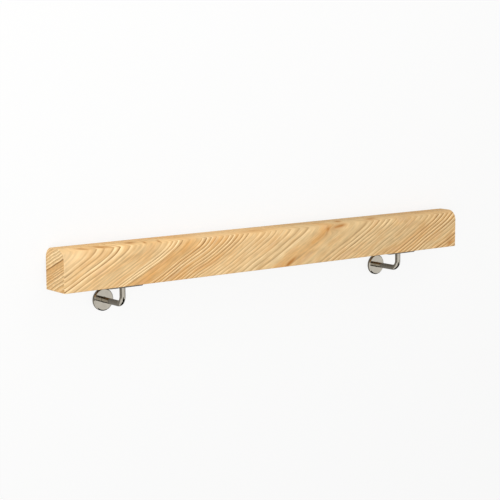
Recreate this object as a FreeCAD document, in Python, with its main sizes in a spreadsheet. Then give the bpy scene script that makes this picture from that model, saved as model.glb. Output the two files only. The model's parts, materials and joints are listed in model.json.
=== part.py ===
"""A length of wooden stair handrail on its two polished wall brackets.

The pieces are drawn as they hang on the wall, in millimetres: X runs along the rail from its middle, the
wall is the plane Y = 0 with the room on its -Y side, and Z = 0 is the flat underside of the rail.  One
placement then lays the whole set down as it rests on a level floor, on its back: on the upper rims of both
wall discs and on the round back edge of the rail.  In that frame +Z is up, the floor is Z = 0 and the
origin is below the middle of the set's box.
"""
import FreeCAD
import Part
import Sketcher
import math
import os

SIZES = (
    ("rail_length", 750),
    ("rail_depth", 50),
    ("rail_height", 60),
    ("top_round", 16),
    ("edge_ease", 0.8),
    ("wall_gap", 30),
    ("bracket_inset", 108),
    ("arm_drop", 30),
    ("arm_diameter", 8.5),
    ("bend_radius", 12),
    ("disc_diameter", 33),
    ("disc_thickness", 5),
    ("disc_bevel", 1.5),
    ("stud_hole_diameter", 5),
    ("stud_hole_depth", 16),
    ("drill_tip_angle", 118),
    ("saddle_length", 60),
    ("saddle_width", 24),
    ("saddle_thickness", 4),
    ("saddle_corner", 6),
    ("saddle_bevel", 0.6),
    ("screw_spacing", 40),
    ("screw_length", 25),
    ("screw_diameter", 3.5),
    ("screw_head_diameter", 7),
    ("recess_span", 4),
    ("recess_width", 0.9),
    ("recess_depth", 1.6),
    ("fit_clearance", 0.1),
)

# Sizes that follow from the sheet.  The rail's middle hangs straight above the upright of each arm.
REACH = "(Sizes.wall_gap + Sizes.rail_depth / 2)"
TOP_ROUND = "min(Sizes.top_round; Sizes.rail_depth * 0.49)"
DISC_RADIUS = "(Sizes.disc_diameter / 2)"
ARM_RISE = "(Sizes.arm_drop - Sizes.saddle_thickness)"
SCREW_HOLE_RADIUS = "(Sizes.screw_diameter / 2 + Sizes.fit_clearance)"
HEAD_SLOPE = "((Sizes.screw_head_diameter - Sizes.screw_diameter) / 2)"

SIDES = (("left", -1), ("right", 1))
TOUCHING = 1e-4

doc = FreeCAD.newDocument("handrail")
sheet = doc.addObject("Spreadsheet::Sheet", "Sizes")
for row, (alias, size) in enumerate(SIZES, start=1):
    sheet.set("A%d" % row, alias)
    sheet.set("B%d" % row, str(size))
    sheet.setAlias("B%d" % row, alias)
doc.recompute()


def value(formula):
    """The number, in millimetres or degrees, that a formula on the sheet gives."""
    return float(sheet.evalExpression(formula))


def new_body(label):
    body = doc.addObject("PartDesign::Body", label)
    body.Label = label
    return body


def new_sketch(body, name, role):
    """An empty sketch on one of the body's own origin planes."""
    sketch = body.newObject("Sketcher::SketchObject", name)
    plane = next(feature for feature in body.Origin.OriginFeatures if feature.Role == role)
    sketch.AttachmentSupport = [(plane, "")]
    sketch.MapMode = "FlatFace"
    return sketch


def tie(sketch, kind, places, formula):
    """Adds one dimension to a sketch and binds it to a formula on the sheet."""
    index = sketch.addConstraint(Sketcher.Constraint(kind, *places, value(formula)))
    sketch.setExpression("Constraints[%d]" % index, formula)


def pin(sketch, geometry, point, across, up):
    """Ties a point to the sketch's axes by formulas; a formula of None puts it on that axis."""
    for kind, axis, formula in (("DistanceX", -2, across), ("DistanceY", -1, up)):
        if formula is None:
            sketch.addConstraint(Sketcher.Constraint("PointOnObject", geometry, point, axis))
        else:
            tie(sketch, kind, (-1, 1, geometry, point), formula)


def vector(across, up):
    return FreeCAD.Vector(value(across or "0"), value(up or "0"), 0)


def draw_outline(sketch, corners):
    """A closed outline of straight lines through corners given as pairs of formulas."""
    points = [vector(*corner) for corner in corners]
    count = len(points)
    for index in range(count):
        sketch.addGeometry(Part.LineSegment(points[index], points[(index + 1) % count]), False)
    for index in range(count):
        sketch.addConstraint(Sketcher.Constraint("Coincident", index, 2, (index + 1) % count, 1))
    for index, corner in enumerate(corners):
        pin(sketch, index, 1, *corner)


def draw_circle(sketch, radius, across=None, up=None):
    """A circle whose radius and centre are formulas."""
    circle = Part.Circle(vector(across, up), FreeCAD.Vector(0, 0, 1), value(radius))
    index = sketch.addGeometry(circle, False)
    tie(sketch, "Radius", (index,), radius)
    pin(sketch, index, 3, across, up)


def add_feature(body, kind, name, profile, **settings):
    """A sketch-based feature: plain settings are set, and settings that are formulas are bound."""
    feature = body.newObject("PartDesign::" + kind, name)
    feature.Profile = profile
    for key, setting in settings.items():
        if isinstance(setting, str) and "Sizes." in setting:
            feature.setExpression(key, setting)
        else:
            setattr(feature, key, setting)
    doc.recompute()
    return feature


def dress(body, kind, name, base, size_name, formula, chosen):
    """A fillet or chamfer, sized by a formula, on those edges of the base that chosen picks."""
    edges = ["Edge%d" % index for index, edge in enumerate(base.Shape.Edges, start=1) if chosen(edge)]
    if not edges:
        raise RuntimeError("no edge to dress for " + name)
    feature = body.newObject("PartDesign::" + kind, name)
    feature.Base = (base, edges)
    feature.setExpression(size_name, formula)
    doc.recompute()
    return feature


def cut_away(body, before):
    """Stops the build if the body's last feature took nothing off the volume that it had before."""
    if body.Shape.Volume > before - TOUCHING:
        raise RuntimeError("nothing was cut from " + body.Label)


def lies_at(edge, axis, level):
    """True where a whole edge lies in the plane that crosses one axis, 0 to 2, at a level."""
    box = edge.BoundBox
    low = (box.XMin, box.YMin, box.ZMin)[axis]
    high = (box.XMax, box.YMax, box.ZMax)[axis]
    return abs(low - level) < TOUCHING and abs(high - level) < TOUCHING


def bracket_middle(side):
    """Formula for the place of a bracket along the rail."""
    return "%d * (Sizes.rail_length / 2 - Sizes.bracket_inset)" % side


def screw_middle(side, end):
    """Formula for the place along the rail of one of a saddle's two screws."""
    return "%s + %d * Sizes.screw_spacing / 2" % (bracket_middle(side), end)


def make_rail():
    """A sawn and planed bar with both long top edges rounded and a pilot hole for each screw."""
    body = new_body("rail")
    section = new_sketch(body, "rail_section", "YZ_Plane")
    back = "-Sizes.wall_gap"
    front = "-(Sizes.wall_gap + Sizes.rail_depth)"
    top = "Sizes.rail_height"
    draw_outline(section, ((back, None), (back, top), (front, top), (front, None)))
    bar = add_feature(body, "Pad", "rail_bar", section, SideType="Symmetric", Length="Sizes.rail_length")
    height = value(top)
    half = value("Sizes.rail_length / 2")

    def long_top_edge(edge):
        return lies_at(edge, 2, height) and edge.Length > value("Sizes.rail_depth") + TOUCHING

    rounded = dress(body, "Fillet", "top_edges", bar, "Radius", TOP_ROUND, long_top_edge)

    def arris(edge):
        at_end = lies_at(edge, 0, half) or lies_at(edge, 0, -half)
        return at_end or lies_at(edge, 2, 0)

    dress(body, "Chamfer", "eased_arrises", rounded, "Size", "Sizes.edge_ease", arris)
    before = body.Shape.Volume
    holes = new_sketch(body, "pilot_holes", "XY_Plane")
    for _, side in SIDES:
        for end in (-1, 1):
            draw_circle(holes, SCREW_HOLE_RADIUS, screw_middle(side, end), "-" + REACH)
    depth = "Sizes.screw_length - Sizes.saddle_thickness + Sizes.fit_clearance"
    add_feature(body, "Pocket", "pilot_drilling", holes, Reversed=True, Length=depth)
    cut_away(body, before)
    return body


def make_wall_disc(name):
    """A turned plate with a bevelled front edge, bored for the foot of the arm; its back is on the wall."""
    body = new_body("wall_disc_" + name)
    section = new_sketch(body, "disc_section_" + name, "YZ_Plane")
    bore = "Sizes.arm_diameter / 2 + Sizes.fit_clearance"
    face = "-Sizes.disc_thickness"
    draw_outline(section, ((None, bore), (None, DISC_RADIUS), (face, DISC_RADIUS), (face, bore)))
    turned = add_feature(body, "Revolution", "disc_turning_" + name, section,
                         ReferenceAxis=(section, ["H_Axis"]), Angle=360)

    def front_rim(edge):
        rim = edge.Length > value("pi * Sizes.disc_diameter") - TOUCHING
        return rim and lies_at(edge, 1, -value("Sizes.disc_thickness"))

    dress(body, "Chamfer", "disc_rim_" + name, turned, "Size", "Sizes.disc_bevel", front_rim)
    return body


def make_arm(name):
    """A round bar that comes level out of the wall and bends up, its foot drilled for a wall stud."""
    body = new_body("arm_" + name)
    path = new_sketch(body, "arm_path_" + name, "YZ_Plane")
    level_end = "-(%s - Sizes.bend_radius)" % REACH
    foot = vector(None, None)
    bend_start = vector(level_end, None)
    bend_middle = vector(level_end, "Sizes.bend_radius")
    bend_end = vector("-" + REACH, "Sizes.bend_radius")
    bend = Part.Circle(bend_middle, FreeCAD.Vector(0, 0, 1), value("Sizes.bend_radius"))
    level = path.addGeometry(Part.LineSegment(foot, bend_start), False)
    corner = path.addGeometry(Part.ArcOfCircle(bend, math.pi, 1.5 * math.pi), False)
    upright = path.addGeometry(Part.LineSegment(bend_end, vector("-" + REACH, ARM_RISE)), False)
    path.addConstraint(Sketcher.Constraint("Coincident", level, 1, -1, 1))
    path.addConstraint(Sketcher.Constraint("Horizontal", level))
    path.addConstraint(Sketcher.Constraint("Tangent", level, 2, corner, 2))
    path.addConstraint(Sketcher.Constraint("Tangent", corner, 1, upright, 1))
    path.addConstraint(Sketcher.Constraint("Vertical", upright))
    tie(path, "Radius", (corner,), "Sizes.bend_radius")
    pin(path, upright, 2, "-" + REACH, ARM_RISE)
    section = new_sketch(body, "arm_section_" + name, "XZ_Plane")
    draw_circle(section, "Sizes.arm_diameter / 2")
    doc.recompute()
    add_feature(body, "AdditivePipe", "arm_bar_" + name, section,
                Spine=(path, ["Edge1", "Edge2", "Edge3"]))
    before = body.Shape.Volume
    drilling = new_sketch(body, "stud_hole_" + name, "YZ_Plane")
    radius = "Sizes.stud_hole_diameter / 2"
    depth = "-Sizes.stud_hole_depth"
    tip = "-(Sizes.stud_hole_depth + %s / tan(Sizes.drill_tip_angle * 0.5deg))" % radius
    draw_outline(drilling, ((None, None), (None, radius), (depth, radius), (tip, None)))
    add_feature(body, "Groove", "stud_drilling_" + name, drilling,
                ReferenceAxis=(drilling, ["H_Axis"]), Angle=360)
    cut_away(body, before)
    return body


def make_saddle(name):
    """A flat plate under the rail with round corners and two countersunk screw holes."""
    body = new_body("saddle_" + name)
    outline = new_sketch(body, "saddle_outline_" + name, "XY_Plane")
    end = "Sizes.saddle_length / 2"
    edge_line = "Sizes.saddle_width / 2"
    draw_outline(outline, ((end, edge_line), ("-" + end, edge_line),
                           ("-" + end, "-" + edge_line), (end, "-" + edge_line)))
    plate = add_feature(body, "Pad", "saddle_plate_" + name, outline, Reversed=True,
                        Length="Sizes.saddle_thickness")
    low = -value("Sizes.saddle_thickness")

    def stands_up(edge):
        return not lies_at(edge, 2, 0) and not lies_at(edge, 2, low)

    cornered = dress(body, "Fillet", "saddle_corners_" + name, plate, "Radius",
                     "Sizes.saddle_corner", stands_up)

    def lower_rim(edge):
        return lies_at(edge, 2, low)

    dress(body, "Chamfer", "saddle_rim_" + name, cornered, "Size", "Sizes.saddle_bevel", lower_rim)
    before = body.Shape.Volume
    holes = new_sketch(body, "saddle_holes_" + name, "XY_Plane")
    for side in (-1, 1):
        draw_circle(holes, SCREW_HOLE_RADIUS, "%d * Sizes.screw_spacing / 2" % side)
    drilled = add_feature(body, "Pocket", "saddle_drilling_" + name, holes,
                          Length="Sizes.saddle_thickness")
    cut_away(body, before)
    before = body.Shape.Volume

    def hole_mouth(edge):
        round_length = 2 * math.pi * value(SCREW_HOLE_RADIUS)
        return lies_at(edge, 2, low) and abs(edge.Length - round_length) < TOUCHING

    dress(body, "Chamfer", "countersinks_" + name, drilled, "Size", HEAD_SLOPE, hole_mouth)
    cut_away(body, before)
    return body


def make_screw(name):
    """A countersunk wood screw, head down, with a cross recess; the part inside the wood is left plain."""
    body = new_body(name)
    section = new_sketch(body, name + "_section", "XZ_Plane")
    head = "Sizes.screw_head_diameter / 2"
    shank = "Sizes.screw_diameter / 2"
    end = "Sizes.screw_length"
    draw_outline(section, ((None, None), (head, None), (shank, HEAD_SLOPE), (shank, end), (None, end)))
    add_feature(body, "Revolution", name + "_turning", section,
                ReferenceAxis=(section, ["V_Axis"]), Angle=360)
    before = body.Shape.Volume
    recess = new_sketch(body, name + "_recess", "XY_Plane")
    span = "Sizes.recess_span / 2"
    width = "Sizes.recess_width / 2"
    quarter = ((span, width), (width, width), (width, span))
    corners = []
    for across_sign, up_sign in (("", ""), ("-", ""), ("-", "-"), ("", "-")):
        turned = quarter if across_sign == up_sign else quarter[::-1]
        corners += [(across_sign + across, up_sign + up) for across, up in turned]
    draw_outline(recess, corners)
    add_feature(body, "Pocket", name + "_pressing", recess, Reversed=True, Length="Sizes.recess_depth")
    cut_away(body, before)
    return body


def lying_turn():
    """Degrees about X that lay the hung set on its back.

    Seen along X, the floor line passes through the top of a disc's back rim and touches the round back edge
    of the rail.  It leans from upright by the angle to that round's centre less the angle its radius takes.
    """
    radius = value(TOP_ROUND)
    rim = value("%s - Sizes.arm_drop" % DISC_RADIUS)
    across = value("Sizes.wall_gap") + radius
    up = value("Sizes.rail_height") - radius - rim
    lean = math.atan2(across, up) - math.asin(radius / math.hypot(across, up))
    return -(90 + math.degrees(lean))


def hung_at(across, out, up):
    """Placement of a piece on the wall, by formulas for its X, Y and Z."""
    place = FreeCAD.Vector(value(across), value(out), value(up))
    return FreeCAD.Placement(place, FreeCAD.Rotation())


hung = [(make_rail(), hung_at("0", "0", "0"))]
for name, side in SIDES:
    middle = bracket_middle(side)
    hung.append((make_wall_disc(name), hung_at(middle, "0", "-Sizes.arm_drop")))
    hung.append((make_arm(name), hung_at(middle, "0", "-Sizes.arm_drop")))
    hung.append((make_saddle(name), hung_at(middle, "-" + REACH, "0")))
    for place, end in (("outer", side), ("inner", -side)):
        screw = make_screw("screw_%s_%s" % (name, place))
        hung.append((screw, hung_at(screw_middle(side, end), "-" + REACH, "-Sizes.saddle_thickness")))

turn = FreeCAD.Placement(FreeCAD.Vector(), FreeCAD.Rotation(FreeCAD.Vector(1, 0, 0), lying_turn()))
for body, place in hung:
    body.Placement = turn.multiply(place)
doc.recompute()

box = Part.Compound([body.Shape for body, _ in hung]).optimalBoundingBox()
lying = FreeCAD.Placement(FreeCAD.Vector(-box.Center.x, -box.Center.y, -box.ZMin), turn.Rotation)
for body, place in hung:
    body.Placement = lying.multiply(place)
doc.recompute()

for feature in doc.Objects:
    if "Invalid" in feature.State or "Error" in feature.State:
        raise RuntimeError(feature.Label + " did not build")
for body, _ in hung:
    if body.Shape.isNull() or not body.Shape.isValid() or len(body.Shape.Solids) != 1:
        raise RuntimeError(body.Label + " is not one sound solid")

os.makedirs("parts", exist_ok=True)
for body, _ in hung:
    body.Shape.exportStep("parts/%s.step" % body.Label)
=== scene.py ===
"""Looks of a stair handrail length: a pine rail on two polished steel wall brackets.

The file is laid out as an add-on and run as a script. Shapes are worked out as the rail hangs on its wall,
along the rail, back to the wall and up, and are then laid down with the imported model's own directions.
"""

import json
import math
from collections import namedtuple

import bpy
import numpy as np
from bpy.props import FloatProperty, FloatVectorProperty, PointerProperty
from mathutils import Matrix


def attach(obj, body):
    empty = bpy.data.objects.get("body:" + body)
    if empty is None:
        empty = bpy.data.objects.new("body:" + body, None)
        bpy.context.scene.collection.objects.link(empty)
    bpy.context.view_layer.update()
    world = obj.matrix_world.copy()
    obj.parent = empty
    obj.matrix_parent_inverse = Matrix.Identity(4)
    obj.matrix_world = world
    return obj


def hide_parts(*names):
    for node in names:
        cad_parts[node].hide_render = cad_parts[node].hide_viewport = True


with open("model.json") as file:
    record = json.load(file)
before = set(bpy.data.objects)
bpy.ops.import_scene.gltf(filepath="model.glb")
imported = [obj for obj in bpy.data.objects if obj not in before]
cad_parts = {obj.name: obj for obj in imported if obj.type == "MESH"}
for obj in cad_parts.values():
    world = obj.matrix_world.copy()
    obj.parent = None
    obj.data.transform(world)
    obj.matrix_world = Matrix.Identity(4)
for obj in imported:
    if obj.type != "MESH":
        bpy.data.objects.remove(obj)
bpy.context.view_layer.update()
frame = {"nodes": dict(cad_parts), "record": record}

bl_info = {
    "name": "Stair handrail length",
    "version": (1, 0, 0),
    "blender": (4, 5, 0),
    "location": "View3D > Sidebar > Handrail",
    "description": "Dresses the packed handrail with wood grain, polished steel and a plain studio",
    "category": "Object",
}

MM = 0.001
SIDES = ("left", "right")
WHITE = (1.0, 1.0, 1.0, 1.0)

# How finely round shapes are drawn: steps round a corner of the rail's section, round the arris of its ends
# and round a polished edge, sides of a turned disc, a round bar and a curved card, and that card's rows.
RAIL_CORNER_STEPS = 24
ARRIS_STEPS = 6
EDGE_STEPS = 6
DISC_SIDES = 160
BAR_SIDES = 96
CARD_SIDES = 96
CARD_ROWS = 25

# The rail's own directions as it hangs, read from a wall mount: along it, back to the wall, and up.
WALL_MOUNT = next(mount for mount in frame["record"]["mounts"] if mount["name"] == "left_wall_face")
ALONG = np.array((1.0, 0.0, 0.0))
TO_WALL = np.array(WALL_MOUNT["axis"])
UPWARD = np.cross(ALONG, TO_WALL)
HANG = np.stack((ALONG, TO_WALL, UPWARD))


def node_reach(name):
    """Lowest and highest place of a CAD node along each of the rail's own directions, in metres."""
    mesh = frame["nodes"][name].data
    flat = np.empty(len(mesh.vertices) * 3, np.float32)
    mesh.vertices.foreach_get("co", flat)
    places = flat.reshape(-1, 3) @ HANG.T
    return places.min(0), places.max(0)


# The hung zero point: middle of the length, face of the wall, underside of the rail.
HUNG_ZERO = np.array((0.0, node_reach("wall_disc_left")[1][1], node_reach("rail")[0][2]))


def hung_box(name):
    """Lowest and highest corner of a CAD node as it hangs, measured from the hung zero point."""
    low, high = node_reach(name)
    return low - HUNG_ZERO, high - HUNG_ZERO


def lay_down(points):
    """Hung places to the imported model's frame: each is so many metres along the rail's three directions."""
    return (points + HUNG_ZERO) @ HANG


def linear(code):
    """An sRGB hex colour as linear red, green, blue and alpha."""
    parts = np.array([int(code[i:i + 2], 16) for i in (1, 3, 5)]) / 255
    light = np.where(parts <= 0.04045, parts / 12.92, ((parts + 0.055) / 1.055) ** 2.4)
    return (*light.tolist(), 1.0)


def length_property(name, description, default):
    """A settings length in metres."""
    return FloatProperty(name=name, description=description, default=default, min=0.0, unit="LENGTH",
                         precision=4)


def share_property(name, description, default):
    """A settings number that is a share or a slope."""
    return FloatProperty(name=name, description=description, default=default, min=0.0, max=2.0,
                         subtype="FACTOR")


def lamp_property(name, description, default):
    """A settings power of a lamp in watts."""
    return FloatProperty(name=name, description=description, default=default, min=0.0, subtype="POWER")


def colour_property(name, description, code):
    """A settings colour, given as sRGB hex."""
    return FloatVectorProperty(name=name, description=description, default=linear(code), size=4, min=0.0,
                               max=1.0, subtype="COLOR")


class RailSettings(bpy.types.PropertyGroup):
    """Sizes and colours of the wooden rail."""

    top_round: length_property("Top rounding", "Radius of the two long top edges", 0.016)
    arris: length_property("Arris", "Radius to which the other edges are sanded", 0.0008)
    ring_slope: share_property("Ring slope", "Rise of the growth rings over the run of the rail", 0.508)
    spring: colour_property("Spring wood", "Bright line that begins each year", "#FFE2B0")
    pale: colour_property("Pale wood", "Wood of the palest years", "#EFCD9C")
    straw: colour_property("Straw wood", "Ordinary years", "#E4BE88")
    beige: colour_property("Beige wood", "Plain wide years", "#D8B886")
    honey: colour_property("Honey wood", "Narrow resinous years", "#D7A362")
    # The amber band is partly the wood's own orange and partly a painted highlight on the rounded upper edge.
    amber_and_highlight: colour_property("Amber wood", "Warm band along the upper edge", "#FBCE8C")
    rose: colour_property("Rosy wood", "Faintly red patches", "#D9AA7E")
    late: colour_property("Late wood", "Dark line that ends each year", "#8C5C22")
    resin: colour_property("Resin", "Streaks and knots that hold resin", "#AF7231")


class BracketSettings(bpy.types.PropertyGroup):
    """Sizes and colours of the steel brackets."""

    bend_radius: length_property("Bend radius", "Radius of the arm's bend at the middle of the bar", 0.012)
    disc_bevel: length_property("Disc bevel", "Bevel of the wall disc's front edge", 0.0015)
    edge_break: length_property("Edge break", "Radius of the disc's polished edges", 0.0003)
    clearance: length_property("Bore clearance", "Gap between the disc's bore and the arm", 0.0001)
    weld: length_property("Weld", "Leg of the dressed weld under the saddle", 0.0008)
    stud_radius: length_property("Stud hole radius", "Radius of the hole for the wall stud", 0.0025)
    stud_depth: length_property("Stud hole depth", "Depth of that hole before its drilled tip", 0.016)
    steel: colour_property("Polished steel", "Colour of the mirror polished stainless steel", "#B9B3A7")
    # The saddle colour is darker than the polished steel: painted shade from the rail above it.
    saddle: colour_property("Saddle steel", "Colour of the dull cut saddles", "#8A847C")
    screw: colour_property("Screw steel", "Colour of the plain stainless screws", "#B9B8B4")


class StageSettings(bpy.types.PropertyGroup):
    """Light, floor and camera."""

    floor: colour_property("Floor", "Colour of the floor", "#F1F1EF")
    lift: share_property("Floor lift", "How far the floor is lifted to white where it is seen", 0.85)
    grey_card: colour_property("Side cards", "Grey that the uprights mirror", "#A09D99")
    floor_card: colour_property("Card on the floor", "Grey that the level bars mirror", "#A5A3A0")
    black_card: colour_property("Black cards", "Black that the bends mirror", "#0E0D0C")
    room: FloatProperty(name="Room light", description="Strength of the even room light", default=0.55,
                        min=0.0)
    key: lamp_property("Key lamp", "Power of the main soft lamp", 15.2)
    fill: lamp_property("Fill lamp", "Power of the soft lamp that faces the rail's top", 14.0)
    end: lamp_property("End lamp", "Power of the soft lamp that faces the rail's left end", 5.0)
    lens: FloatProperty(name="Lens", description="Focal length on a 36 mm sensor", default=101.56, min=1.0,
                        subtype="DISTANCE_CAMERA")


def rounded_outline(corners, radii, steps):
    """Closed outline with rounded corners, as points and outward normals.

    The corners run anticlockwise. Each becomes an arc: its centre lies where the two sides, moved by the
    radius, cross, and the arc turns from one side's normal to the next side's in equal steps.
    """
    corners = np.asarray(corners, float)
    side = np.roll(corners, -1, 0) - corners
    side /= np.linalg.norm(side, axis=1, keepdims=True)
    after = np.stack((side[:, 1], -side[:, 0]), 1)
    before = np.roll(after, 1, 0)
    cosine = (before * after).sum(1)
    turn = np.arctan2(before[:, 0] * after[:, 1] - before[:, 1] * after[:, 0], cosine)
    reach = np.sign(turn) * np.asarray(radii, float)
    centre = corners - (reach / (1 + cosine))[:, None] * (before + after)
    first = np.arctan2(before[:, 1], before[:, 0])
    angle = first[:, None] + turn[:, None] * np.linspace(0, 1, steps + 1)
    normals = np.stack((np.cos(angle), np.sin(angle)), 2)
    points = centre[:, None] + reach[:, None, None] * normals
    return points.reshape(-1, 2), normals.reshape(-1, 2)


def divided(points, normals, longest):
    """The same outline with each straight side cut into equal lengths no longer than asked."""
    step = np.roll(points, -1, 0) - points
    pieces = np.maximum(1, np.ceil(np.linalg.norm(step, axis=1) / longest)).astype(int)
    source = np.repeat(np.arange(len(points)), pieces)
    first = np.repeat(np.cumsum(pieces) - pieces, pieces)
    share = (np.arange(len(source)) - first) / pieces[source]
    return points[source] + step[source] * share[:, None], normals[source]


def grid_piece(name, points, normals, joined, replaced):
    """Mesh object of a grid of hung points, rows by columns, whose columns close round.

    Where joined is true the rows close round as well, and otherwise the first and last row are capped with
    one flat face each. Faces are turned to agree with the normals, which are kept for smooth reflections.
    """
    rows, columns = points.shape[:2]
    index = np.arange(rows * columns).reshape(rows, columns)
    lower = index if joined else index[:-1]
    upper = np.roll(index, -1, 0) if joined else index[1:]
    quads = np.stack((lower, np.roll(lower, -1, 1), np.roll(upper, -1, 1), upper), 2).reshape(-1, 4)
    flat = points.reshape(-1, 3)
    facing = normals.reshape(-1, 3)
    spread = np.cross(flat[quads[:, 2]] - flat[quads[:, 0]], flat[quads[:, 3]] - flat[quads[:, 1]])
    outward = (spread * facing[quads[:, 0]]).sum() > 0
    faces = (quads if outward else quads[:, ::-1]).tolist()
    if not joined:
        first, last = index[0].tolist(), index[-1].tolist()
        faces += [first[::-1], last] if outward else [first, last[::-1]]
    mesh = bpy.data.meshes.new(name)
    mesh.from_pydata(lay_down(flat).tolist(), [], faces)
    mesh.shade_smooth()
    mesh.normals_split_custom_set_from_vertices((facing @ HANG).tolist())
    if mesh.validate():
        raise RuntimeError(name + " has faces that are not sound")
    piece = bpy.data.objects.new(name, mesh)
    bpy.context.scene.collection.objects.link(piece)
    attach(piece, "root")
    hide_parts(replaced)
    return piece


def add_node(tree, kind, links=(), stops=(), curve=(), **settings):
    """Adds a node with its settings, and fills its inputs, its ramp's stops and its curve's points.

    An input takes a constant, a socket or a node, which stands for its first output.
    """
    node = tree.nodes.new("ShaderNode" + kind)
    for name, setting in settings.items():
        setattr(node, name, setting)
    for socket, source in dict(links).items():
        if isinstance(source, bpy.types.Node):
            source = source.outputs[0]
        if isinstance(source, bpy.types.NodeSocket):
            tree.links.new(source, node.inputs[socket])
        else:
            node.inputs[socket].default_value = source
    if stops:
        ramp = node.color_ramp.elements
        ramp.remove(ramp[1])
        ramp[0].position, ramp[0].color = stops[0]
        for place, colour in stops[1:]:
            ramp.new(place).color = colour
    if curve:
        points = node.mapping.curves[0].points
        points[0].location = curve[0]
        points[1].location = curve[-1]
        for place, height in curve[1:-1]:
            points.new(place, height)
        for point in points:
            point.handle_type = "VECTOR"
        node.mapping.update()
    return node


def new_material(name):
    """A new material with its node tree and its shader, ready for links."""
    material = bpy.data.materials.new(name)
    material.use_nodes = True
    return material, material.node_tree, material.node_tree.nodes["Principled BSDF"]


def hung_millimetres(tree):
    """Object coordinates turned back to the rail as it hangs, in millimetres."""
    place = add_node(tree, "TexCoord")
    turn = Matrix(HANG.tolist()).to_euler()
    return add_node(tree, "Mapping", {"Vector": place.outputs["Object"], "Location": tuple(-HUNG_ZERO / MM),
                                      "Rotation": tuple(turn), "Scale": (1 / MM,) * 3})


# A stretch of years: where it ends along the ring coordinate in millimetres, how many years it holds, how
# dark their late wood is, how bright their spring wood is, how clear their hatch is, and which wood it is.
Stretch = namedtuple("Stretch", "end years late spring hatch wood")
# A table of growth: where the first stretch starts, and the stretches.
Growth = namedtuple("Growth", "start stretches")
# A knot or resin streak: hung middle, half sizes along, across and up, tilt in degrees, how far the rings
# bulge round it in millimetres, and strength of the stain.
Streak = namedtuple("Streak", "middle half tilt bulge strength")

# Growth along the front, from the left end.
FRONT_GROWTH = Growth(-200.0, [Stretch(*row) for row in (
    (-168.7, 1, 0.10, 0.05, 0.20, "pale"),
    (-158.3, 1, 0.20, 0.10, 0.20, "pale"),
    (-145.7, 2, 0.45, 0.35, 0.20, "straw"),
    (-138.7, 1, 0.70, 0.80, 0.20, "straw"),
    (-132.7, 1, 0.80, 0.90, 0.20, "straw"),
    (-124.7, 1, 0.35, 0.50, 0.30, "straw"),
    (-103.7, 4, 0.12, 0.15, 0.90, "straw"),
    (-93.3, 2, 0.35, 0.20, 0.60, "straw"),
    (-80.5, 3, 0.60, 0.95, 0.30, "straw"),
    (-67.7, 2, 0.25, 0.05, 0.40, "honey"),
    (-63.7, 1, 0.55, 0.50, 0.30, "honey"),
    (-54.7, 2, 0.95, 1.00, 0.30, "honey"),
    (-50.3, 1, 0.95, 1.00, 0.30, "honey"),
    (-43.3, 1, 0.55, 0.70, 0.40, "honey"),
    (-34.3, 2, 0.70, 0.70, 0.40, "honey"),
    (-20.3, 3, 0.70, 0.65, 0.40, "honey"),
    (-11.3, 2, 0.22, 0.35, 0.40, "straw"),
    (5.7, 3, 0.38, 0.45, 0.40, "straw"),
    (19.7, 2, 0.32, 0.45, 0.40, "straw"),
    (37.3, 2, 0.38, 0.45, 0.30, "beige"),
    (53.0, 1, 0.00, 0.35, 0.20, "beige"),
    (66.0, 1, 0.35, 0.00, 0.20, "honey"),
    (84.0, 2, 0.10, 0.15, 0.20, "beige"),
    (98.7, 1, 0.50, 0.10, 0.20, "beige"),
    (129.3, 5, 0.58, 0.50, 0.25, "beige"),
    (139.3, 2, 0.30, 0.30, 0.30, "beige"),
    (171.3, 5, 0.30, 0.30, 0.60, "beige"),
    (205.7, 6, 0.85, 0.70, 0.20, "honey"),
    (220.3, 2, 0.35, 0.40, 0.20, "beige"),
    (238.3, 3, 0.85, 0.60, 0.20, "honey"),
    (400.0, 24, 0.50, 0.50, 0.40, "straw"),
)])
# Growth over the sawn ends, from the lower front edge up.
END_GROWTH = Growth(-44.0, [Stretch(*row) for row in (
    (-22.0, 3, 0.30, 0.40, 0.30, "honey"),
    (-6.0, 3, 0.60, 0.70, 0.30, "straw"),
    (5.0, 3, 0.45, 0.45, 0.30, "honey"),
    (14.0, 1, 0.85, 0.10, 0.30, "honey"),
    (32.0, 4, 0.22, 0.90, 0.30, "straw"),
    (56.0, 5, 0.12, 0.60, 0.30, "straw"),
)])
# Knots and streaks of the front and of the upper front edge.
STREAKS = [Streak(*row) for row in (
    ((20.0, -80.0, 6.0), (24.0, 9.0, 5.0), 32.0, 0.0, 1.2),
    ((112.0, -78.0, 52.0), (36.0, 12.0, 9.0), 14.0, 14.0, 0.45),
    ((97.0, -79.0, 51.0), (10.0, 9.0, 5.0), 40.0, 0.0, 0.7),
    ((124.0, -76.0, 54.0), (20.0, 9.0, 4.5), 8.0, 0.0, 0.9),
    ((126.0, -67.0, 59.8), (13.0, 7.0, 3.6), 0.0, 0.0, 1.2),
    ((-262.0, -68.0, 59.0), (18.0, 7.0, 4.0), 0.0, 0.0, 0.9),
    ((-308.0, -71.5, 58.0), (36.0, 7.0, 2.6), -6.0, 0.0, 1.2),
    ((-340.0, -72.0, 57.8), (26.0, 7.0, 2.2), -6.0, 0.0, 0.9),
    ((-240.0, -71.0, 58.0), (9.0, 6.0, 3.0), -35.0, 0.0, 0.9),
    ((-216.0, -72.0, 57.0), (9.0, 6.0, 3.0), -35.0, 0.0, 0.9),
    ((-45.0, -70.0, 58.0), (50.0, 8.0, 5.0), 0.0, 0.0, 0.5),
    ((190.0, -69.0, 58.5), (26.0, 8.0, 4.0), 4.0, 6.0, 0.9),
    ((-200.0, -80.0, 6.0), (36.0, 9.0, 7.0), 25.0, 0.0, 0.5),
    ((362.0, -80.0, 8.0), (16.0, 9.0, 6.0), 30.0, 0.0, 0.7),
)]
# How much deeper a stain is than its streak's strength.
STAIN_DEPTH = 1.5

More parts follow.
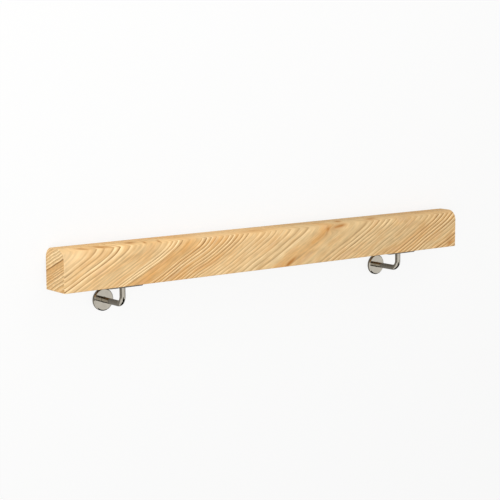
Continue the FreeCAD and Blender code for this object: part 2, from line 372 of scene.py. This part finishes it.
# The pith, about which the front's rings are cones: its height over the surface in millimetres, how many
# times closer the rings lie on its far side, and by how many millimetres their arrowheads are rounded.
# Beside the pith the rings hang back, by these millimetres at the rail's left and right end, and within this
# reach.
PITH_HEIGHT = 57.7
FAR_SIDE = 2.2
ARROW_ROUND = 2.0
HANG_BACK = (10.4, 2.9)
HANG_REACH = 15.0
# On the sawn ends the years rise to the front by 24 degrees, which is this much to each millimetre of depth.
END_RISE = 0.45


def grey(level):
    """An opaque grey for a ramp that carries a number."""
    return (level, level, level, 1.0)


def growth_marks(growth):
    """Start and ends of a table's stretches as shares of the whole, and the years that have passed there."""
    ends = np.array([growth.start] + [stretch.end for stretch in growth.stretches])
    years = np.cumsum([0] + [stretch.years for stretch in growth.stretches])
    return ((ends - ends[0]) / (ends[-1] - ends[0])).tolist(), years.tolist()


def seasons(tree, ring, share, growth):
    """Season of the year at a ring coordinate, from zero to one, and a chance number for each year.

    The table's curve turns the share of the way through it into years.
    """
    places, years = growth_marks(growth)
    age = add_node(tree, "FloatCurve", {"Value": share},
                   curve=[(place, count / years[-1]) for place, count in zip(places, years)])
    # Good and bad years: rings differ in width over some 9 mm, and each has late wood of its own darkness.
    luck = add_node(tree, "TexNoise", {"W": ring, "Scale": 1 / 9, "Detail": 1.0}, noise_dimensions="1D")
    swell = add_node(tree, "Math", {0: luck, 1: 0.36, 2: -0.18}, operation="MULTIPLY_ADD")
    drift = add_node(tree, "Math", {0: age, 1: float(years[-1]), 2: swell}, operation="MULTIPLY_ADD")
    season = add_node(tree, "Math", {0: drift}, operation="FRACT")
    year = add_node(tree, "Math", {0: drift}, operation="FLOOR")
    chance = add_node(tree, "TexWhiteNoise", {"W": year}, noise_dimensions="1D")
    return season, chance


def grown_wood(tree, settings, ring, fall, growth, reach, clear):
    """Colour, late wood and fibres of pine.

    They follow a ring coordinate, the way along the lines and a table of growth. Each year opens bright and
    ends in a thin dark line, and fibres, hatch and clouds are laid over it. The reach is how many times
    longer than wide the fibres are, and clear is how plainly the lines show.
    """
    share = add_node(tree, "MapRange", {"Value": ring, "From Min": growth.start,
                                        "From Max": growth.stretches[-1].end})
    season, chance = seasons(tree, ring, share, growth)
    places = growth_marks(growth)[0]
    lines = [(place, (stretch.late, stretch.spring, stretch.hatch, 1.0))
             for place, stretch in zip(places, growth.stretches)]
    depth = add_node(tree, "ValToRGB", {"Fac": share}, stops=lines + [(1.0, grey(0.3))])
    depth.color_ramp.interpolation = "CONSTANT"
    strength = add_node(tree, "SeparateColor", {0: depth})
    middles = [(before + after) / 2 for before, after in zip(places, places[1:])]
    woods = [getattr(settings, stretch.wood) for stretch in growth.stretches]
    wood = add_node(tree, "ValToRGB", {"Fac": share}, stops=list(zip(middles, woods)))
    late = add_node(tree, "ValToRGB", {"Fac": season},
                    stops=((0.0, grey(0.1)), (0.06, grey(0.0)), (0.56, grey(0.04)), (0.74, grey(0.30)),
                           (0.85, grey(1.0)), (0.95, grey(1.0)), (1.0, grey(0.1))))
    spring = add_node(tree, "ValToRGB", {"Fac": season},
                      stops=((0.0, grey(0.6)), (0.08, grey(1.0)), (0.28, grey(0.7)), (0.50, grey(0.1)),
                             (1.0, grey(0.0))))
    # Fibres: fine lines some 3 mm apart that follow the rings, as coarse as they need to be to show.
    follow = add_node(tree, "CombineXYZ", {"X": ring, "Y": fall})
    thread = add_node(tree, "VectorMath", {0: follow, 1: (1.0, 1 / reach, 0.0)}, operation="MULTIPLY")
    fibre = add_node(tree, "TexNoise", {"Vector": thread, "Scale": 0.32, "Detail": 3.0},
                     noise_dimensions="2D")
    # Hatch: faint false rings some 4 mm apart in the slow years.
    wave = add_node(tree, "Math", {0: ring, 1: 2 / 4.2, 2: fibre}, operation="MULTIPLY_ADD")
    hatch = add_node(tree, "Math", {0: wave, 1: 1.0}, operation="PINGPONG")
    etched = add_node(tree, "Math", {0: hatch, 1: strength.outputs["Blue"]}, operation="MULTIPLY")
    # Clouds: warm, dull and rosy patches some 14 mm across the rings and 60 mm along them, where lines fade.
    patch = add_node(tree, "VectorMath", {0: follow, 1: (1 / 14, 1 / 60, 0.0)}, operation="MULTIPLY")
    cloud = add_node(tree, "TexNoise", {"Vector": patch, "Scale": 1.0, "Detail": 3.0}, noise_dimensions="2D")
    tone = add_node(tree, "ValToRGB", {"Fac": cloud},
                    stops=((0.0, settings.pale), (0.36, settings.beige), (0.48, settings.straw),
                           (0.60, settings.honey), (0.72, settings.rose), (1.0, settings.honey)))
    base = add_node(tree, "MixRGB", {"Fac": 0.4, "Color1": wood, "Color2": tone})
    # How plainly a year shows: less in a warm cloud, and some years more than others.
    fade = add_node(tree, "MapRange", {"Value": cloud, "From Min": 0.3, "From Max": 0.7,
                                       "To Min": 1.3, "To Max": 0.6})
    vigour = add_node(tree, "MapRange", {"Value": chance, "To Min": 0.7, "To Max": 1.3})
    bold = add_node(tree, "Math", {0: fade, 1: vigour}, operation="MULTIPLY")
    force = add_node(tree, "Math", {0: bold, 1: clear}, operation="MULTIPLY")
    glow = add_node(tree, "Math", {0: spring, 1: strength.outputs["Green"]}, operation="MULTIPLY")
    gleam = add_node(tree, "Math", {0: glow, 1: force}, operation="MULTIPLY", use_clamp=True)
    lit = add_node(tree, "MixRGB", {"Fac": gleam, "Color1": base, "Color2": settings.spring})
    shown = add_node(tree, "Math", {0: late, 1: strength.outputs["Red"]}, operation="MULTIPLY")
    lined = add_node(tree, "Math", {0: shown, 1: force}, operation="MULTIPLY", use_clamp=True)
    ringed = add_node(tree, "MixRGB", {"Fac": lined, "Color1": lit, "Color2": settings.late})
    shade = add_node(tree, "MapRange", {"Value": fibre, "From Min": 0.25, "From Max": 0.75,
                                        "To Min": 0.87, "To Max": 1.13})
    dim = add_node(tree, "Math", {0: etched, 1: -0.20, 2: shade}, operation="MULTIPLY_ADD")
    coloured = add_node(tree, "VectorMath", {0: ringed, 1: dim}, operation="MULTIPLY")
    return coloured, lined, fibre


def wandering(tree, place, size, amount):
    """Hung millimetres pushed about by a slow noise, so that the years are not drawn with a ruler."""
    wander = add_node(tree, "TexNoise", {"Vector": place, "Scale": 1 / size, "Detail": 1.5})
    swing = add_node(tree, "VectorMath", {0: wander.outputs["Color"], 1: (0.5, 0.5, 0.5)},
                     operation="SUBTRACT")
    return add_node(tree, "VectorMath", {0: swing, 1: amount, 2: place}, operation="MULTIPLY_ADD")


def sanded(tree, shader, lined, fibre, soft, hard):
    """Gloss and relief of sanded wood: late wood is smoother and stands up to 0.04 mm proud."""
    rough = add_node(tree, "MapRange", {"Value": lined, "To Min": soft, "To Max": hard})
    tree.links.new(rough.outputs[0], shader.inputs["Roughness"])
    relief = add_node(tree, "Math", {0: fibre, 1: 0.5, 2: lined}, operation="MULTIPLY_ADD")
    bump = add_node(tree, "Bump", {"Height": relief, "Strength": 0.25, "Distance": 0.04 * MM})
    tree.links.new(bump.outputs["Normal"], shader.inputs["Normal"])


def surface_height(tree, settings, place, bent):
    """Height over the rail's surface in millimetres, measured from its lower front edge.

    It rises up the front, round the edge and back along the top: the height up to the rounding, its radius
    times the angle round it, and the way beyond it. From the lower front edge it falls along the underside
    and rises again up the back: the height less the depth. The two meet in the rounding of the upper back
    edge.
    """
    low, high = hung_box("rail")
    turned = settings.top_round / MM
    rise = high[2] / MM - turned
    inner = low[1] / MM + turned
    straight = add_node(tree, "SeparateXYZ", {0: place})
    lift = add_node(tree, "Math", {0: bent.outputs["Z"], 1: rise}, operation="SUBTRACT")
    lifted = add_node(tree, "Math", {0: lift, 1: 0.0}, operation="MAXIMUM")
    inward = add_node(tree, "Math", {0: inner, 1: bent.outputs["Y"]}, operation="SUBTRACT")
    # The way in is never less than a quarter of the radius, so that the angle settles where the top begins.
    inside = add_node(tree, "Math", {0: inward, 1: turned / 4}, operation="MAXIMUM")
    angle = add_node(tree, "Math", {0: lifted, 1: inside}, operation="ARCTAN2")
    front = add_node(tree, "Math", {0: bent.outputs["Z"], 1: rise}, operation="MINIMUM")
    round_up = add_node(tree, "Math", {0: angle, 1: turned, 2: front}, operation="MULTIPLY_ADD")
    beyond = add_node(tree, "Math", {0: bent.outputs["Y"], 1: inner}, operation="SUBTRACT")
    along_top = add_node(tree, "Math", {0: beyond, 1: 0.0}, operation="MAXIMUM")
    over = add_node(tree, "Math", {0: round_up, 1: along_top}, operation="ADD")
    depth = add_node(tree, "Math", {0: straight.outputs["Y"], 1: low[1] / MM}, operation="SUBTRACT")
    under = add_node(tree, "Math", {0: bent.outputs["Z"], 1: depth}, operation="SUBTRACT")
    border = add_node(tree, "Math", {0: along_top, 1: 0.3, 2: rise}, operation="MULTIPLY_ADD")
    upper = add_node(tree, "Math", {0: bent.outputs["Z"], 1: border}, operation="GREATER_THAN")
    return add_node(tree, "Mix", {"Factor": upper, "A": under, "B": over})


def planed_pine(settings):
    """Pine planed and sanded along the grain: pale spring wood, thin dark late wood, warm resin streaks."""
    material, tree, shader = new_material("planed_pine")
    place = hung_millimetres(tree)
    wandered = wandering(tree, place, size=80.0, amount=(8.0, 4.0, 5.0))
    bent = add_node(tree, "SeparateXYZ", {0: wandered})
    run = bent.outputs["X"]
    height = surface_height(tree, settings, place, bent)
    left, right = (corner[0] / MM for corner in hung_box("rail"))
    # Rings are cones about a pith that runs along the upper front edge, so they end there in arrowheads. The
    # ring coordinate is the slope times the run along the rail, plus the way across from the pith.
    under = add_node(tree, "Math", {0: PITH_HEIGHT, 1: height}, operation="SUBTRACT")
    over = add_node(tree, "Math", {0: under, 1: -FAR_SIDE}, operation="MULTIPLY")
    radius = add_node(tree, "Math", {0: under, 1: over, 2: ARROW_ROUND}, operation="SMOOTH_MAX")
    near = add_node(tree, "Math", {0: math.exp(-1 / HANG_REACH), 1: radius}, operation="POWER")
    bend = add_node(tree, "MapRange", {"Value": run, "From Min": left, "From Max": right,
                                       "To Min": HANG_BACK[0], "To Max": HANG_BACK[1]})
    across = add_node(tree, "Math", {0: near, 1: bend, 2: radius}, operation="MULTIPLY_ADD")
    slope = settings.ring_slope
    ring = add_node(tree, "Math", {0: run, 1: slope, 2: across}, operation="MULTIPLY_ADD")
    fall = add_node(tree, "Math", {0: across, 1: -slope, 2: run}, operation="MULTIPLY_ADD")
    stain = 0.0
    for streak in STREAKS:
        turn = (0.0, math.radians(-streak.tilt), 0.0)
        local = add_node(tree, "Mapping", {"Vector": wandered, "Location": streak.middle, "Rotation": turn,
                                           "Scale": streak.half}, vector_type="TEXTURE")
        ball = add_node(tree, "TexGradient", {"Vector": local}, gradient_type="QUADRATIC_SPHERE")
        inside = ball.outputs["Fac"]
        stain = add_node(tree, "Math", {0: inside, 1: STAIN_DEPTH * streak.strength, 2: stain},
                         operation="MULTIPLY_ADD", use_clamp=True)
        ring = add_node(tree, "Math", {0: inside, 1: streak.bulge, 2: ring}, operation="MULTIPLY_ADD")
    # Above the arrowheads the lines fade, least at the left end. This is a painted highlight on the rounded
    # upper edge, which washes the grain out there.
    kept = add_node(tree, "MapRange", {"Value": run, "From Min": -290.0, "From Max": -180.0,
                                       "To Min": 0.9, "To Max": 0.4})
    clear = add_node(tree, "MapRange", {"Value": over, "From Max": 10.0, "To Min": 1.0, "To Max": kept})
    colour, lined, fibre = grown_wood(tree, settings, ring, fall, FRONT_GROWTH, reach=8.0, clear=clear)
    # The last millimetres up to the top and the top itself turn towards a warm band, which changes along the
    # rail from amber to straw. The band is partly the wood's own orange and partly a painted highlight on the
    # rounded edge, paler over the left half of the rail.
    warm = add_node(tree, "MapRange", {"Value": height, "From Min": 52.0, "From Max": 60.0, "To Max": 0.35})
    share = add_node(tree, "MapRange", {"Value": run, "From Min": left, "From Max": right})
    band = add_node(tree, "ValToRGB", {"Fac": share},
                    stops=((0.0, settings.amber_and_highlight), (0.25, settings.amber_and_highlight), (0.32, settings.spring),
                           (0.44, settings.amber_and_highlight), (0.56, settings.beige), (1.0, settings.straw)))
    # Mixes in the band: the wood's own orange together with the painted highlight.
    warmed_and_highlit = add_node(tree, "MixRGB", {"Fac": warm, "Color1": colour, "Color2": band})
    # Resin soaks unevenly into the fibres.
    soak = add_node(tree, "MapRange", {"Value": fibre, "From Min": 0.2, "From Max": 0.8,
                                       "To Min": 0.5, "To Max": 1.2})
    resin = add_node(tree, "Math", {0: stain, 1: soak}, operation="MULTIPLY", use_clamp=True)
    stained = add_node(tree, "MixRGB", {"Fac": resin, "Color1": warmed_and_highlit, "Color2": settings.resin})
    tree.links.new(stained.outputs[0], shader.inputs["Base Color"])
    sanded(tree, shader, lined, fibre, soft=0.58, hard=0.46)
    shader.inputs["Specular IOR Level"].default_value = 0.3
    return material


def sawn_pine(settings):
    """Pine sawn square across the grain and sanded: close years that rise to the front, and short pores."""
    material, tree, shader = new_material("sawn_pine_end")
    bent = wandering(tree, hung_millimetres(tree), size=30.0, amount=(0.0, 3.0, 3.0))
    ring = add_node(tree, "VectorMath", {0: bent, 1: (0.0, END_RISE, 1.0)}, operation="DOT_PRODUCT")
    fall = add_node(tree, "VectorMath", {0: bent, 1: (0.0, 1.0, -END_RISE)}, operation="DOT_PRODUCT")
    colour, lined, fibre = grown_wood(tree, settings, ring.outputs["Value"], fall.outputs["Value"],
                                      END_GROWTH, reach=3.0, clear=1.0)
    tree.links.new(colour.outputs[0], shader.inputs["Base Color"])
    sanded(tree, shader, lined, fibre, soft=0.68, hard=0.55)
    shader.inputs["Specular IOR Level"].default_value = 0.25
    return material


def steel_finish(name, colour, smear, smooth, rough):
    """Stainless steel: a metal whose gloss and tone drift a little, in patches as wide as the smear.

    Mirror polish leaves a clear reflection with a faint smear, a plain screw is greyer and more even, and a
    saddle is dull and darker, the darker colour being painted shade from the rail above it. The smear is in
    millimetres.
    """
    material, tree, shader = new_material(name)
    patch = add_node(tree, "TexNoise", {"Vector": hung_millimetres(tree), "Scale": 1 / smear, "Detail": 3.0})
    gloss = add_node(tree, "MapRange", {"Value": patch, "From Min": 0.3, "From Max": 0.7,
                                        "To Min": smooth, "To Max": rough})
    tree.links.new(gloss.outputs[0], shader.inputs["Roughness"])
    dim = add_node(tree, "MapRange", {"Value": patch, "From Min": 0.3, "From Max": 0.7,
                                      "To Min": 1.04, "To Max": 0.94})
    tint = add_node(tree, "VectorMath", {0: tuple(colour)[:3], 1: dim}, operation="MULTIPLY")
    tree.links.new(tint.outputs[0], shader.inputs["Base Color"])
    shader.inputs["Metallic"].default_value = 1.0
    return material


def mirror_polish(settings):
    """The mirror polished stainless steel that discs and arms share."""
    name = "mirror_polished_stainless"
    made = bpy.data.materials.get(name)
    return made or steel_finish(name, settings.steel, smear=6.0, smooth=0.05, rough=0.11)


class HANDRAIL_OT_saddles(bpy.types.Operator):
    """Give the saddles and their screws their steel finishes"""

    bl_idname = "handrail.saddles"
    bl_label = "Saddles and screws"

    def execute(self, context):
        """The CAD nodes keep their shape, and each takes the finish of its kind."""
        settings = context.scene.handrail_bracket
        finishes = {
            # The saddles' darker colour is painted shade from the rail above them; their dullness is
            # roughness.
            "saddle": steel_finish("dull_cut_steel", settings.saddle, smear=4.0, smooth=0.46, rough=0.58),
            "screw": steel_finish("plain_screw_steel", settings.screw, smear=1.5, smooth=0.40, rough=0.50),
        }
        for name, node in frame["nodes"].items():
            kind = name.split("_")[0]
            if kind in finishes:
                node.data.materials.clear()
                node.data.materials.append(finishes[kind])
        return {"FINISHED"}


class HANDRAIL_OT_rail(bpy.types.Operator):
    """Make the wooden rail: its rounded section carried along its length, with sanded ends"""

    bl_idname = "handrail.rail"
    bl_label = "Rail"

    def execute(self, context):
        """The rounded section is carried from end to end.

        Round an end's arris it is inset by arris (1 - sin t) at arris (1 - cos t) from the end.
        """
        settings = context.scene.handrail_rail
        low, high = hung_box("rail")
        corners = ((low[1], low[2]), (high[1], low[2]), (high[1], high[2]), (low[1], high[2]))
        radii = (settings.arris, settings.arris, settings.top_round, settings.top_round)
        outline, facing = rounded_outline(corners, radii, RAIL_CORNER_STEPS)
        turn = np.linspace(0, math.pi / 2, ARRIS_STEPS + 1)
        inset = settings.arris * (1 - np.sin(turn))
        steps = settings.arris * (1 - np.cos(turn))
        rims = outline - inset[:, None, None] * facing
        rims = np.concatenate((rims, rims[::-1]))
        run = np.concatenate((low[0] + steps, high[0] - steps[::-1]))
        lean = np.concatenate((-np.cos(turn), np.cos(turn[::-1])))
        side = np.concatenate((np.sin(turn), np.sin(turn[::-1])))[:, None]
        points = np.stack(np.broadcast_arrays(run[:, None], rims[..., 0], rims[..., 1]), 2)
        normals = np.stack(np.broadcast_arrays(lean[:, None], side * facing[:, 0], side * facing[:, 1]), 2)
        piece = grid_piece("pine_rail", points, normals, False, "rail")
        piece.data.materials.append(planed_pine(settings))
        piece.data.materials.append(sawn_pine(settings))
        # The last two faces are the two sawn ends.
        finish = np.zeros(len(piece.data.polygons), np.int32)
        finish[-2:] = 1
        piece.data.polygons.foreach_set("material_index", finish)
        return {"FINISHED"}


class HANDRAIL_OT_wall_discs(bpy.types.Operator):
    """Make the two turned wall discs, bored for the arms"""

    bl_idname = "handrail.wall_discs"
    bl_label = "Wall discs"

    def execute(self, context):
        """A bevelled section, distance from the axis by way to the wall, is turned round the level axis."""
        settings = context.scene.handrail_bracket
        angle = np.linspace(0, 2 * math.pi, DISC_SIDES, endpoint=False)[:, None]
        for side in SIDES:
            low, high = hung_box("wall_disc_" + side)
            arm_low, arm_high = hung_box("arm_" + side)
            middle = (low + high) / 2
            outer = (high[0] - low[0]) / 2
            bore = (arm_high[0] - arm_low[0]) / 2 + settings.clearance
            bevel = settings.disc_bevel
            corners = ((bore, low[1]), (outer - bevel, low[1]), (outer, low[1] + bevel), (outer, high[1]),
                       (bore, high[1]))
            radii = np.full(len(corners), settings.edge_break)
            section, facing = rounded_outline(corners, radii, EDGE_STEPS)
            across, back = section.T
            out, wallward = facing.T
            points = np.stack(np.broadcast_arrays(middle[0] + across * np.cos(angle), back,
                                                  middle[2] + across * np.sin(angle)), 2)
            normals = np.stack(np.broadcast_arrays(out * np.cos(angle), wallward, out * np.sin(angle)), 2)
            piece = grid_piece("turned_disc_" + side, points, normals, True, "wall_disc_" + side)
            piece.data.materials.append(mirror_polish(settings))
        return {"FINISHED"}


class HANDRAIL_OT_arms(bpy.types.Operator):
    """Make the two bent arms, drilled in the foot for a wall stud"""

    bl_idname = "handrail.arms"
    bl_label = "Arms"

    def execute(self, context):
        """A section, way along the bar by distance from its middle, is carried round the bar's bent line.

        The line runs level out of the wall, turns up on the bend radius through a quarter circle, and rises
        to the saddle. A point is the line's place plus its distance times the circle across the line.
        """
        settings = context.scene.handrail_bracket
        angle = np.linspace(0, 2 * math.pi, BAR_SIDES, endpoint=False)[None, :, None]
        hole, depth, weld = settings.stud_radius, settings.stud_depth, settings.weld
        # The hole ends in the cone of a 118 degree drill. The surface closes there and at the saddle in a
        # flat of this small radius.
        tip = depth + hole / math.tan(math.radians(118 / 2))
        closing = 0.02 * MM
        for side in SIDES:
            low, high = hung_box("arm_" + side)
            radius = (high[0] - low[0]) / 2
            bend = settings.bend_radius
            level = high[1] - low[1] - radius - bend
            rise = high[2] - low[2] - radius - bend
            quarter = bend * math.pi / 2
            total = level + quarter + rise
            corners = ((total, closing), (total, radius + weld), (total - weld, radius), (0.0, radius),
                       (0.0, hole), (depth, hole), (tip, closing))
            # Radii of these corners, in the same order.
            breaks = np.array((0.005, 0.05, 0.6, 0.3, 0.2, 0.05, 0.005)) * MM
            section, facing = rounded_outline(corners, breaks, EDGE_STEPS)
            section, facing = divided(section, facing, longest=1.0 * MM)
            # The way back along the middle of the bar is left off.
            closed = np.isclose(section[:, 1], closing, atol=0.03 * MM) & (section[:, 0] <= tip)
            last = np.flatnonzero(closed)[0]
            section, facing = section[:last + 1], facing[:last + 1]
            way = section[:, 0]
            turn = np.clip((way - level) / bend, 0, math.pi / 2)
            climb = np.maximum(way - level - quarter, 0)
            back = high[1] - np.minimum(way, level) - bend * np.sin(turn)
            up = low[2] + radius + bend * (1 - np.cos(turn)) + climb
            line = np.stack((np.full_like(turn, (low[0] + high[0]) / 2), back, up), 1)
            ahead = np.stack((np.zeros_like(turn), -np.cos(turn), np.sin(turn)), 1)
            above = np.stack((np.zeros_like(turn), np.sin(turn), np.cos(turn)), 1)
            spoke = np.cos(angle) * ALONG + np.sin(angle) * above[:, None]
            points = line[:, None] + section[:, None, 1:] * spoke
            normals = facing[:, None, :1] * ahead[:, None] + facing[:, None, 1:] * spoke
            piece = grid_piece("bent_arm_" + side, points, normals, False, "arm_" + side)
            piece.data.materials.append(mirror_polish(settings))
        return {"FINISHED"}


# The stage's sizes in metres: half widths of the floor and of the card on it, and how far from the rail's
# middle the curved cards and the lamps stand.
FLOOR_HALF = 15.0
FLOOR_CARD_HALF = 1.5
CARD_DISTANCE = 4.0
LAMP_DISTANCE = 2.0
# The photograph's view of the hung rail: the camera's place in metres, its heading, downward tilt and roll
# in degrees, and the width of its sensor in millimetres.
CAMERA_PLACE = (-1.3231, -1.7247, 0.3291)
CAMERA_TURNS = (37.560, 8.149, -0.186)
SENSOR_WIDTH = 36.0


def looked_at(tree):
    """One for rays from the camera, a mirror or glass, and zero for rays that only gather light."""
    path = add_node(tree, "LightPath")
    mirrored = add_node(tree, "Math", {0: path.outputs["Is Camera Ray"], 1: path.outputs["Is Glossy Ray"]},
                        operation="MAXIMUM")
    return add_node(tree, "Math", {0: mirrored, 1: path.outputs["Is Transmission Ray"]}, operation="MAXIMUM")


def matt_paper(name, colour, rough):
    """Matt paper: a plain colour without a shine."""
    material, tree, shader = new_material(name)
    shader.inputs["Base Color"].default_value = colour
    shader.inputs["Roughness"].default_value = rough
    shader.inputs["Specular IOR Level"].default_value = 0.0
    return material, tree, shader


def stage_sheet(name, points, faces, material):
    """A thin sheet of the stage, from its points and faces."""
    mesh = bpy.data.meshes.new(name)
    mesh.from_pydata(points.tolist(), [], faces)
    mesh.materials.append(material)
    piece = bpy.data.objects.new(name, mesh)
    bpy.context.scene.collection.objects.link(piece)
    return piece


def level_square(half, height):
    """Corners and face of a level square over the zero point."""
    corners = np.array(((-half, -half), (half, -half), (half, half), (-half, half)))
    return np.column_stack((corners, np.full(4, height))), [(0, 1, 2, 3)]


def sphere_cap(middle, axis, narrowest):
    """Points and faces of a cap of a sphere, out to the cosine of its half angle.

    For each cosine c up to one a point is c along the axis and the root of 1 - c squared round it.
    """
    axis = axis / np.linalg.norm(axis)
    side = np.cross(axis, (0.0, 0.0, 1.0))
    side /= np.linalg.norm(side)
    cosine = np.linspace(narrowest, 1.0, CARD_ROWS)[:, None, None]
    angle = np.linspace(0, 2 * math.pi, CARD_SIDES, endpoint=False)[None, :, None]
    spoke = np.cos(angle) * side + np.sin(angle) * np.cross(axis, side)
    points = middle + CARD_DISTANCE * (cosine * axis + np.sqrt(1 - cosine ** 2) * spoke)
    index = np.arange(CARD_ROWS * CARD_SIDES).reshape(CARD_ROWS, CARD_SIDES)
    near, far = index[:-1], index[1:]
    faces = np.stack((near, np.roll(near, -1, 1), np.roll(far, -1, 1), far), 2).reshape(-1, 4)
    return points.reshape(-1, 3), faces.tolist()


def mirror_card(name, colour, points, faces):
    """A matt card of the stage that only mirrors see, so that it neither shows nor shades anything."""
    material = matt_paper("matt_" + name, colour, 1.0)[0]
    card = stage_sheet(name, points, faces, material)
    card.visible_camera = False
    card.visible_diffuse = False
    card.visible_transmission = False
    card.visible_shadow = False


def lay_floor(settings):
    """A floor of white paper, which keeps the shadow and is lifted towards white for all that look at it."""
    material, tree, shader = matt_paper("white_paper", settings.floor, 0.9)
    lift = add_node(tree, "Math", {0: looked_at(tree), 1: settings.lift}, operation="MULTIPLY")
    white = add_node(tree, "Emission", {"Color": WHITE, "Strength": 1.0})
    paper = add_node(tree, "MixShader", {0: lift, 1: shader, 2: white})
    tree.links.new(paper.outputs[0], tree.nodes["Material Output"].inputs["Surface"])
    floor = stage_sheet("floor", *level_square(FLOOR_HALF, 0.0), material)


def light_room(settings):
    """Even room light, in a room that is white for all that look at it."""
    world = bpy.data.worlds.new("studio")
    bpy.context.scene.world = world
    world.use_nodes = True
    tree = world.node_tree
    even = tree.nodes["Background"]
    even.inputs["Color"].default_value = WHITE
    even.inputs["Strength"].default_value = settings.room
    white = add_node(tree, "Background", {"Color": WHITE, "Strength": 1.0})
    sky = add_node(tree, "MixShader", {0: looked_at(tree), 1: even, 2: white})
    tree.links.new(sky.outputs[0], tree.nodes["World Output"].inputs["Surface"])


def stand_cards(settings, middle):
    """Cards for the steel to mirror: grey ones to both sides and on the floor, black ones below and before.

    A curved card has the way to its middle along the hung rail's directions, and its half angle's cosine.
    """
    cards = (("grey_card_left", settings.grey_card, (-0.990, -0.139, 0.0), 0.92),
             ("grey_card_right", settings.grey_card, (1.0, 0.0, 0.0), 0.85),
             ("black_card_below", settings.black_card, (0.40, -0.12, -0.90), 0.81),
             ("black_card_before", settings.black_card, (0.08, -0.785, -0.615), 0.93))
    for name, colour, toward, narrowest in cards:
        mirror_card(name, colour, *sphere_cap(middle, np.array(toward) @ HANG, narrowest))
    mirror_card("grey_card_floor", settings.floor_card, *level_square(FLOOR_CARD_HALF, MM))


def facing_matrix(place, ahead, top):
    """Placement of a lamp or camera, which looks along ahead with its upper side towards top."""
    back = -np.asarray(ahead) / np.linalg.norm(ahead)
    right = np.cross(top, back)
    right /= np.linalg.norm(right)
    turned = np.stack((right, np.cross(back, right), back, place), 1)
    return Matrix(np.vstack((turned, (0.0, 0.0, 0.0, 1.0))).tolist())


def hang_soft_boxes(settings, middle):
    """Soft lamps that face the rail's middle, each with its power, its width and the way to it."""
    lamps = (("key_soft_box", settings.key, 1.4, (-0.55, 0.35, 0.76)),
             ("fill_soft_box", settings.fill, 1.4, (-0.15, 0.96, 0.24)),
             ("end_soft_box", settings.end, 1.2, (-0.97, 0.10, 0.22)))
    for name, power, width, toward in lamps:
        lamp = bpy.data.lights.new(name, "AREA")
        lamp.energy = power
        lamp.size = width
        soft_box = bpy.data.objects.new(name, lamp)
        soft_box.visible_glossy = False
        bpy.context.scene.collection.objects.link(soft_box)
        place = middle + LAMP_DISTANCE * np.array(toward) / np.linalg.norm(toward)
        soft_box.matrix_world = facing_matrix(place, middle - place, UPWARD)


def place_camera(settings):
    """The camera at its place by the hung rail, laid down with it."""
    heading, down, roll = np.radians(CAMERA_TURNS)
    level = np.array((np.sin(heading), np.cos(heading), 0.0))
    right = np.array((np.cos(heading), -np.sin(heading), 0.0))
    ahead = np.cos(down) * level - np.sin(down) * np.array((0.0, 0.0, 1.0))
    top = np.cos(roll) * np.cross(right, ahead) - np.sin(roll) * right
    camera = bpy.data.objects.new("camera", bpy.data.cameras.new("camera"))
    camera.data.lens = settings.lens
    camera.data.sensor_width = SENSOR_WIDTH
    bpy.context.scene.collection.objects.link(camera)
    camera.matrix_world = facing_matrix(lay_down(np.array(CAMERA_PLACE)), ahead @ HANG, top @ HANG)
    bpy.context.scene.camera = camera


class HANDRAIL_OT_stage(bpy.types.Operator):
    """Set the pale floor, the soft light and the camera"""

    bl_idname = "handrail.stage"
    bl_label = "Stage"

    def execute(self, context):
        """Cards and lamps stand round the middle of the rail."""
        settings = context.scene.handrail_stage
        low, high = hung_box("rail")
        middle = lay_down((low + high) / 2)
        lay_floor(settings)
        light_room(settings)
        stand_cards(settings, middle)
        hang_soft_boxes(settings, middle)
        place_camera(settings)
        context.scene.view_settings.view_transform = "Standard"
        return {"FINISHED"}


class HANDRAIL_PT_panel(bpy.types.Panel):
    """The handrail's settings and the buttons that make its pieces"""

    bl_idname = "HANDRAIL_PT_panel"
    bl_label = "Handrail"
    bl_space_type = "VIEW_3D"
    bl_region_type = "UI"
    bl_category = "Handrail"

    def draw(self, context):
        """Lists the settings and, below them, one button for each operator."""
        for group_name in SETTINGS:
            group = getattr(context.scene, group_name)
            column = self.layout.column()
            for name in group.__annotations__:
                column.prop(group, name)
        for operator in OPERATORS:
            self.layout.operator(operator.bl_idname)


SETTINGS = {
    "handrail_rail": RailSettings,
    "handrail_bracket": BracketSettings,
    "handrail_stage": StageSettings,
}
OPERATORS = (HANDRAIL_OT_saddles, HANDRAIL_OT_rail, HANDRAIL_OT_wall_discs, HANDRAIL_OT_arms,
             HANDRAIL_OT_stage)
CLASSES = (*SETTINGS.values(), *OPERATORS, HANDRAIL_PT_panel)


def register():
    """Adds the classes and the scene's settings."""
    for part in CLASSES:
        bpy.utils.register_class(part)
    for name, group in SETTINGS.items():
        setattr(bpy.types.Scene, name, PointerProperty(type=group))


def unregister():
    """Takes the scene's settings and the classes away again."""
    for name in SETTINGS:
        delattr(bpy.types.Scene, name)
    for part in reversed(CLASSES):
        bpy.utils.unregister_class(part)


def main():
    register()
    bpy.ops.handrail.saddles()
    bpy.ops.handrail.rail()
    bpy.ops.handrail.wall_discs()
    bpy.ops.handrail.arms()
    bpy.ops.handrail.stage()


if __name__ == "__main__":
    main()
